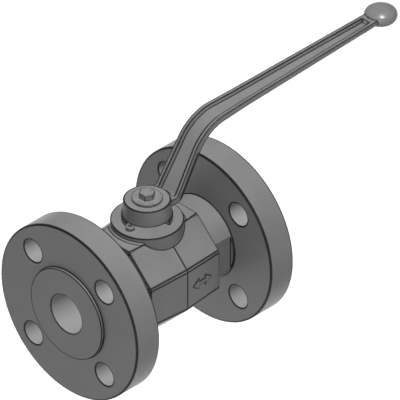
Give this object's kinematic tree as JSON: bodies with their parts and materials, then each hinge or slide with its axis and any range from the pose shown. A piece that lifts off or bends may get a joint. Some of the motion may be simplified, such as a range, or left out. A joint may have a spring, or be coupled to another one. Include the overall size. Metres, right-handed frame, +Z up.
{
  "type": "ball valve",
  "caption": "Full-bore flanged ball valve with a forged eight-sided body and a cranked hand lever that turns a quarter turn to shut off the flow.",
  "frame": {"origin": "centre of the ball, where the pipe axis crosses the stem axis", "axes": "+X along the pipe axis towards the outlet, the way the open lever points; +Y to the left of it; +Z up along the stem axis"},
  "size_m": [0.4066, 0.17, 0.2217],
  "materials": {
    "body_finish": "grey phosphated forged steel with machined faces",
    "lever_finish": "grey coated forging",
    "black_steel": "black oxide steel",
    "zinc_steel": "zinc plated steel",
    "machined_steel": "machined steel",
    "polished_ball": "hard chrome, polished",
    "seat_plastic": "machined acetal",
    "ptfe": "white fluoropolymer",
    "seal_rubber": "black nitrile rubber"
  },
  "bodies": {
    "valve_body": {"body": "body_finish", "inlet_adapter": "body_finish", "outlet_adapter": "body_finish", "inlet_lock_screw": "black_steel", "outlet_lock_screw": "black_steel", "inlet_seat": "seat_plastic", "outlet_seat": "seat_plastic", "inlet_seat_o_ring": "seal_rubber", "outlet_seat_o_ring": "seal_rubber", "inlet_body_o_ring": "seal_rubber", "outlet_body_o_ring": "seal_rubber", "inlet_backup_ring": "ptfe", "outlet_backup_ring": "ptfe", "stem_bush": "seat_plastic", "stop_screw": "black_steel"},
    "lever_and_stem": {"lever": "lever_finish", "lever_washer": "zinc_steel", "lever_screw": "zinc_steel", "stem": "machined_steel", "stem_thrust_ring": "seat_plastic", "stem_lower_o_ring": "seal_rubber", "stem_backup_ring": "ptfe", "stem_upper_o_ring": "seal_rubber"},
    "valve_ball": {"ball": "polished_ball"}
  },
  "joints": [
    {"name": "lever_turn", "type": "hinge", "parent": "valve_body", "child": "lever_and_stem", "pos_m": [0, 0, 0.0655], "axis": [0, 0, 1], "range_deg": [-90, 0]},
    {"name": "ball_turn", "type": "hinge", "parent": "valve_body", "child": "valve_ball", "pos_m": [0, 0, 0], "axis": [0, 0, 1], "range_deg": [-90, 0]}
  ],
  "couplings": [
    {"joint": "ball_turn", "follows": "lever_turn", "ratio": 1}
  ]
}
